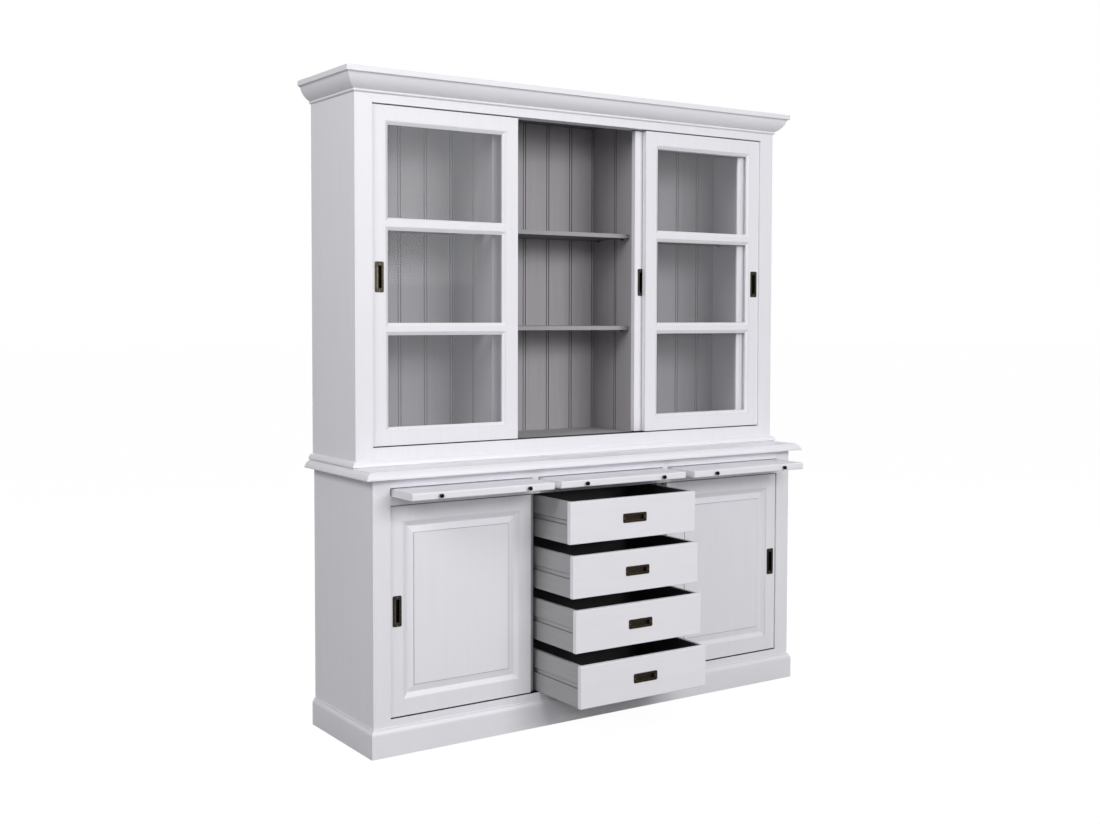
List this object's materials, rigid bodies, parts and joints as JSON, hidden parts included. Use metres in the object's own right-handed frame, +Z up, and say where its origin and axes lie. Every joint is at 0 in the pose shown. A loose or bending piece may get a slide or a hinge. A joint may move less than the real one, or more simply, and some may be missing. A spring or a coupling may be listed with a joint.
{
  "type": "buffet cabinet",
  "caption": "Tall two-part buffet cabinet: sliding glazed doors over shelves, pull-out serving trays, drawers and sliding panelled doors below.",
  "frame": {"origin": "on the floor, at the middle of the base's footprint, under its middle bearer", "axes": "+X to the right as seen from the front, +Y towards the back, +Z up"},
  "size_m": [1.896, 0.7052, 2.2],
  "materials": {
    "white_paint": "satin white paint",
    "grey_paint": "matt grey paint",
    "plain_board": "bare board",
    "drawer_board": "painted board, dark inside",
    "clear_glass": "clear float glass",
    "aged_bronze": "aged dark bronze",
    "dark_knob": "dark bronze, polished",
    "pin_brass": "brass",
    "track_metal": "dark anodised"
  },
  "bodies": {
    "carcass": {"plinth": "white_paint", "base_sides": "white_paint", "base_bottom": "grey_paint", "base_back": "plain_board", "base_dividers": "grey_paint", "base_face_frame": "white_paint", "tray_deck": "white_paint", "base_top": "white_paint", "shelves": "grey_paint", "upper_sides": "white_paint", "upper_floor_and_ceiling": "grey_paint", "upper_face_frame": "white_paint", "upper_back": "grey_paint", "upper_partitions": "grey_paint", "shelf_pins": "pin_brass", "cornice": "white_paint", "waist_moulding": "white_paint", "door_tracks": "track_metal", "drawer_runners": "plain_board"},
    "upper_left_door": {"upper_left_door_frame": "white_paint", "upper_left_door_glass": "clear_glass", "upper_left_door_beads": "white_paint", "upper_left_door_guides": "track_metal", "upper_left_door_pull": "aged_bronze"},
    "upper_middle_door": {"upper_middle_door_frame": "white_paint", "upper_middle_door_glass": "clear_glass", "upper_middle_door_beads": "white_paint", "upper_middle_door_guides": "track_metal", "upper_middle_door_pull": "aged_bronze"},
    "upper_right_door": {"upper_right_door_frame": "white_paint", "upper_right_door_glass": "clear_glass", "upper_right_door_beads": "white_paint", "upper_right_door_guides": "track_metal", "upper_right_door_pull": "aged_bronze"},
    "lower_left_door": {"lower_left_door_frame": "white_paint", "lower_left_door_panel": "white_paint", "lower_left_door_guides": "track_metal", "lower_left_door_pull": "aged_bronze"},
    "lower_right_door": {"lower_right_door_frame": "white_paint", "lower_right_door_panel": "white_paint", "lower_right_door_guides": "track_metal", "lower_right_door_pull": "aged_bronze"},
    "drawer_1": {"drawer_1_front": "white_paint", "drawer_1_box": "drawer_board", "drawer_1_pull": "aged_bronze"},
    "drawer_2": {"drawer_2_front": "white_paint", "drawer_2_box": "drawer_board", "drawer_2_pull": "aged_bronze"},
    "drawer_3": {"drawer_3_front": "white_paint", "drawer_3_box": "drawer_board", "drawer_3_pull": "aged_bronze"},
    "drawer_4": {"drawer_4_front": "white_paint", "drawer_4_box": "drawer_board", "drawer_4_pull": "aged_bronze"},
    "left_tray": {"left_tray_board": "white_paint", "left_tray_knobs": "dark_knob"},
    "middle_tray": {"middle_tray_board": "white_paint", "middle_tray_knobs": "dark_knob"},
    "right_tray": {"right_tray_board": "white_paint", "right_tray_knobs": "dark_knob"}
  },
  "joints": [
    {"name": "upper_left_door_slide", "type": "slide", "parent": "carcass", "child": "upper_left_door", "axis": [1, 0, 0], "range_m": [0, 0.555]},
    {"name": "upper_middle_door_slide", "type": "slide", "parent": "carcass", "child": "upper_middle_door", "axis": [1, 0, 0], "range_m": [-1.081, 0.023]},
    {"name": "upper_right_door_slide", "type": "slide", "parent": "carcass", "child": "upper_right_door", "axis": [1, 0, 0], "range_m": [-0.555, 0]},
    {"name": "lower_left_door_slide", "type": "slide", "parent": "carcass", "child": "lower_left_door", "axis": [1, 0, 0], "range_m": [0, 0.028]},
    {"name": "lower_right_door_slide", "type": "slide", "parent": "carcass", "child": "lower_right_door", "axis": [1, 0, 0], "range_m": [-0.028, 0]},
    {"name": "drawer_1_slide", "type": "slide", "parent": "carcass", "child": "drawer_1", "axis": [0, -1, 0], "range_m": [-0.226, 0.084]},
    {"name": "drawer_2_slide", "type": "slide", "parent": "carcass", "child": "drawer_2", "axis": [0, -1, 0], "range_m": [-0.243, 0.067]},
    {"name": "drawer_3_slide", "type": "slide", "parent": "carcass", "child": "drawer_3", "axis": [0, -1, 0], "range_m": [-0.261, 0.049]},
    {"name": "drawer_4_slide", "type": "slide", "parent": "carcass", "child": "drawer_4", "axis": [0, -1, 0], "range_m": [-0.29, 0.02]},
    {"name": "left_tray_slide", "type": "slide", "parent": "carcass", "child": "left_tray", "axis": [0, -1, 0], "range_m": [-0.143, 0.147]},
    {"name": "middle_tray_slide", "type": "slide", "parent": "carcass", "child": "middle_tray", "axis": [0, -1, 0], "range_m": [-0.137, 0.153]},
    {"name": "right_tray_slide", "type": "slide", "parent": "carcass", "child": "right_tray", "axis": [0, -1, 0], "range_m": [-0.148, 0.142]}
  ]
}
